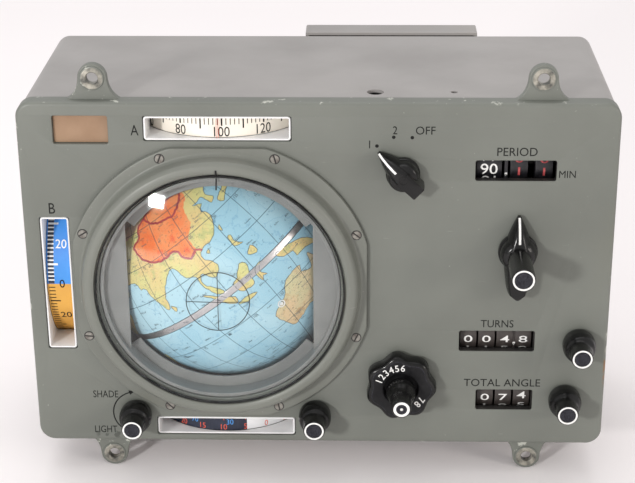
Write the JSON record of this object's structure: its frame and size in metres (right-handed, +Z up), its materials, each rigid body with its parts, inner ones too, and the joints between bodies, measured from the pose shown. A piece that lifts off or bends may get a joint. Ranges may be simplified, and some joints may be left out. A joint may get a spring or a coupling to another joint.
{
  "type": "globe navigation indicator",
  "caption": "Panel-mounted instrument: a turning globe behind a domed window with crosshair, curved scales, number counters and pointer knobs in a rounded metal case.",
  "frame": {"origin": "middle of the whole object's bounding box at its lowest level, the tips of the lower ears", "axes": "+X to the viewer's right along the panel, +Y from the panel back through the case, +Z up"},
  "size_m": [0.33, 0.214, 0.2494],
  "materials": {
    "panel_paint": "semi-gloss grey-green enamel with worn edges",
    "case_paint": "semi-gloss grey-green enamel, a little scuffed",
    "connector_metal": "satin plated shell",
    "clear_dome": "clear polished dome",
    "black_rubber": "matt",
    "mask_grey": "matt dark grey",
    "tan_plate": "matt tan",
    "white_enamel": "satin white enamel",
    "scale_ivory": "printed ivory scale",
    "scale_colour": "printed blue and ochre scale",
    "scale_dark": "printed dark scale",
    "aluminium": "machined",
    "silver_band": "satin silver",
    "steel": "turned and plated",
    "brass": "machined",
    "brown_phenolic": "moulded phenolic",
    "globe_print": "printed map under varnish",
    "wheel_dark": "dark moulded wheel with printed numerals",
    "black_plastic": "glossy moulded black"
  },
  "bodies": {
    "case": {"front_panel": "panel_paint", "rear_case": "case_paint", "connector_box": "case_paint", "rear_connector_1": "connector_metal", "rear_connector_2": "connector_metal", "dome_ring": "panel_paint", "dome_window": "clear_dome", "dome_gasket": "black_rubber", "globe_mask": "mask_grey", "ring_screw_1": "steel", "ring_screw_2": "steel", "ring_screw_3": "steel", "ring_screw_4": "steel", "ring_screw_5": "steel", "ring_screw_6": "steel", "ring_screw_7": "steel", "ring_screw_8": "steel", "blank_plate": "tan_plate", "longitude_frame": "white_enamel", "latitude_frame": "white_enamel", "light_frame": "white_enamel", "chassis": "aluminium", "period_counter_frame": "aluminium", "turns_counter_frame": "aluminium", "angle_counter_frame": "aluminium", "mode_switch": "brown_phenolic", "brightness_control": "steel", "drive_solenoid": "steel"},
    "orbit_frame": {"equator_plate": "silver_band", "yoke_left": "aluminium", "yoke_right": "aluminium", "orbit_gear": "brass", "ratchet_wheel": "steel"},
    "earth_globe": {"globe_north": "globe_print", "globe_south": "globe_print", "polar_axle": "steel"},
    "pinion": {"pinion_shaft": "brass"},
    "orbit_hand_wheel": {"orbit_knob": "black_plastic"},
    "earth_stem": {"earth_knob": "black_plastic"},
    "longitude_scale": {"longitude_drum": "scale_ivory"},
    "latitude_scale": {"latitude_drum": "scale_colour"},
    "light_scale": {"light_drum": "scale_dark"},
    "light_set": {"light_knob": "black_plastic"},
    "mode_pointer": {"mode_knob": "black_plastic"},
    "period_bar": {"period_pointer": "black_plastic"},
    "period_stem": {"period_stem_knob": "black_plastic"},
    "turns_set": {"turns_knob": "black_plastic"},
    "angle_set": {"angle_knob": "black_plastic"},
    "brightness_set": {"brightness_knob": "black_plastic"},
    "period_digit_1": {"period_wheel_1": "wheel_dark"},
    "period_digit_2": {"period_wheel_2": "wheel_dark"},
    "period_digit_3": {"period_wheel_3": "wheel_dark"},
    "turns_digit_1": {"turns_wheel_1": "wheel_dark"},
    "turns_digit_2": {"turns_wheel_2": "wheel_dark"},
    "turns_digit_3": {"turns_wheel_3": "wheel_dark"},
    "turns_digit_4": {"turns_wheel_4": "wheel_dark"},
    "angle_digit_1": {"angle_wheel_1": "wheel_dark"},
    "angle_digit_2": {"angle_wheel_2": "wheel_dark"},
    "angle_digit_3": {"angle_wheel_3": "wheel_dark"}
  },
  "joints": [
    {"name": "orbit_turn", "type": "hinge", "parent": "case", "child": "orbit_frame", "pos_m": [-0.055, -0.013, 0.1217], "axis": [1, 0, 0], "continuous": true},
    {"name": "earth_turn", "type": "hinge", "parent": "orbit_frame", "child": "earth_globe", "pos_m": [-0.055, -0.013, 0.1217], "axis": [-0.6184, 0, 0.7859], "continuous": true},
    {"name": "pinion_turn", "type": "hinge", "parent": "case", "child": "pinion", "pos_m": [0.033, -0.013, 0.061], "axis": [1, 0, 0], "continuous": true},
    {"name": "orbit_knob_turn", "type": "hinge", "parent": "case", "child": "orbit_hand_wheel", "pos_m": [0.0473, -0.065, 0.061], "axis": [0, -1, 0], "continuous": true},
    {"name": "earth_knob_turn", "type": "hinge", "parent": "case", "child": "earth_stem", "pos_m": [0.0473, -0.065, 0.061], "axis": [0, -1, 0], "continuous": true},
    {"name": "longitude_turn", "type": "hinge", "parent": "case", "child": "longitude_scale", "pos_m": [-0.0546, -0.013, 0.2142], "axis": [0, 0, 1], "continuous": true},
    {"name": "latitude_turn", "type": "hinge", "parent": "case", "child": "latitude_scale", "pos_m": [-0.1482, -0.013, 0.1217], "axis": [1, 0, 0], "range_deg": [-55, 55]},
    {"name": "light_turn", "type": "hinge", "parent": "case", "child": "light_scale", "pos_m": [-0.0546, -0.013, 0.0307], "axis": [0, 0, 1], "range_deg": [-60, 60]},
    {"name": "light_knob_turn", "type": "hinge", "parent": "case", "child": "light_set", "pos_m": [-0.0023, -0.065, 0.0393], "axis": [0, -1, 0], "range_deg": [-180, 180]},
    {"name": "mode_turn", "type": "hinge", "parent": "case", "child": "mode_pointer", "pos_m": [0.047, -0.065, 0.1897], "axis": [0, -1, 0], "range_deg": [-57, 0]},
    {"name": "period_pointer_turn", "type": "hinge", "parent": "case", "child": "period_bar", "pos_m": [0.1115, -0.065, 0.1437], "axis": [0, -1, 0], "range_deg": [-150, 150]},
    {"name": "period_stem_turn", "type": "hinge", "parent": "case", "child": "period_stem", "pos_m": [0.1115, -0.065, 0.1437], "axis": [0, -1, 0], "continuous": true},
    {"name": "turns_knob_turn", "type": "hinge", "parent": "case", "child": "turns_set", "pos_m": [0.1484, -0.065, 0.0865], "axis": [0, -1, 0], "continuous": true},
    {"name": "angle_knob_turn", "type": "hinge", "parent": "case", "child": "angle_set", "pos_m": [0.142, -0.065, 0.0507], "axis": [0, -1, 0], "continuous": true},
    {"name": "brightness_turn", "type": "hinge", "parent": "case", "child": "brightness_set", "pos_m": [-0.107, -0.065, 0.0387], "axis": [0, -1, 0], "range_deg": [-135, 135]},
    {"name": "period_digit_1_turn", "type": "hinge", "parent": "case", "child": "period_digit_1", "pos_m": [0.0945, -0.047, 0.19075], "axis": [1, 0, 0], "continuous": true},
    {"name": "period_digit_2_turn", "type": "hinge", "parent": "case", "child": "period_digit_2", "pos_m": [0.111, -0.047, 0.19075], "axis": [1, 0, 0], "continuous": true},
    {"name": "period_digit_3_turn", "type": "hinge", "parent": "case", "child": "period_digit_3", "pos_m": [0.1248, -0.047, 0.19075], "axis": [1, 0, 0], "continuous": true},
    {"name": "turns_digit_1_turn", "type": "hinge", "parent": "case", "child": "turns_digit_1", "pos_m": [0.086, -0.047, 0.0867], "axis": [1, 0, 0], "continuous": true},
    {"name": "turns_digit_2_turn", "type": "hinge", "parent": "case", "child": "turns_digit_2", "pos_m": [0.0965, -0.047, 0.0867], "axis": [1, 0, 0], "continuous": true},
    {"name": "turns_digit_3_turn", "type": "hinge", "parent": "case", "child": "turns_digit_3", "pos_m": [0.107, -0.047, 0.0867], "axis": [1, 0, 0], "continuous": true},
    {"name": "turns_digit_4_turn", "type": "hinge", "parent": "case", "child": "turns_digit_4", "pos_m": [0.1175, -0.047, 0.0867], "axis": [1, 0, 0], "continuous": true},
    {"name": "angle_digit_1_turn", "type": "hinge", "parent": "case", "child": "angle_digit_1", "pos_m": [0.0967, -0.047, 0.0489], "axis": [1, 0, 0], "continuous": true},
    {"name": "angle_digit_2_turn", "type": "hinge", "parent": "case", "child": "angle_digit_2", "pos_m": [0.1073, -0.047, 0.0489], "axis": [1, 0, 0], "continuous": true},
    {"name": "angle_digit_3_turn", "type": "hinge", "parent": "case", "child": "angle_digit_3", "pos_m": [0.1179, -0.047, 0.0489], "axis": [1, 0, 0], "continuous": true}
  ],
  "couplings": [
    {"joint": "pinion_turn", "follows": "orbit_turn", "ratio": -2},
    {"joint": "orbit_knob_turn", "follows": "orbit_turn", "ratio": -2},
    {"joint": "earth_knob_turn", "follows": "earth_turn", "ratio": 4},
    {"joint": "light_knob_turn", "follows": "light_turn", "ratio": -3},
    {"joint": "period_digit_1_turn", "follows": "period_stem_turn", "ratio": 0.01},
    {"joint": "period_digit_2_turn", "follows": "period_stem_turn", "ratio": 0.1},
    {"joint": "period_digit_3_turn", "follows": "period_stem_turn", "ratio": 1},
    {"joint": "turns_digit_1_turn", "follows": "turns_knob_turn", "ratio": 0.001},
    {"joint": "turns_digit_2_turn", "follows": "turns_knob_turn", "ratio": 0.01},
    {"joint": "turns_digit_3_turn", "follows": "turns_knob_turn", "ratio": 0.1},
    {"joint": "turns_digit_4_turn", "follows": "turns_knob_turn", "ratio": 1},
    {"joint": "angle_digit_1_turn", "follows": "angle_knob_turn", "ratio": 0.01},
    {"joint": "angle_digit_2_turn", "follows": "angle_knob_turn", "ratio": 0.1},
    {"joint": "angle_digit_3_turn", "follows": "angle_knob_turn", "ratio": 1}
  ]
}
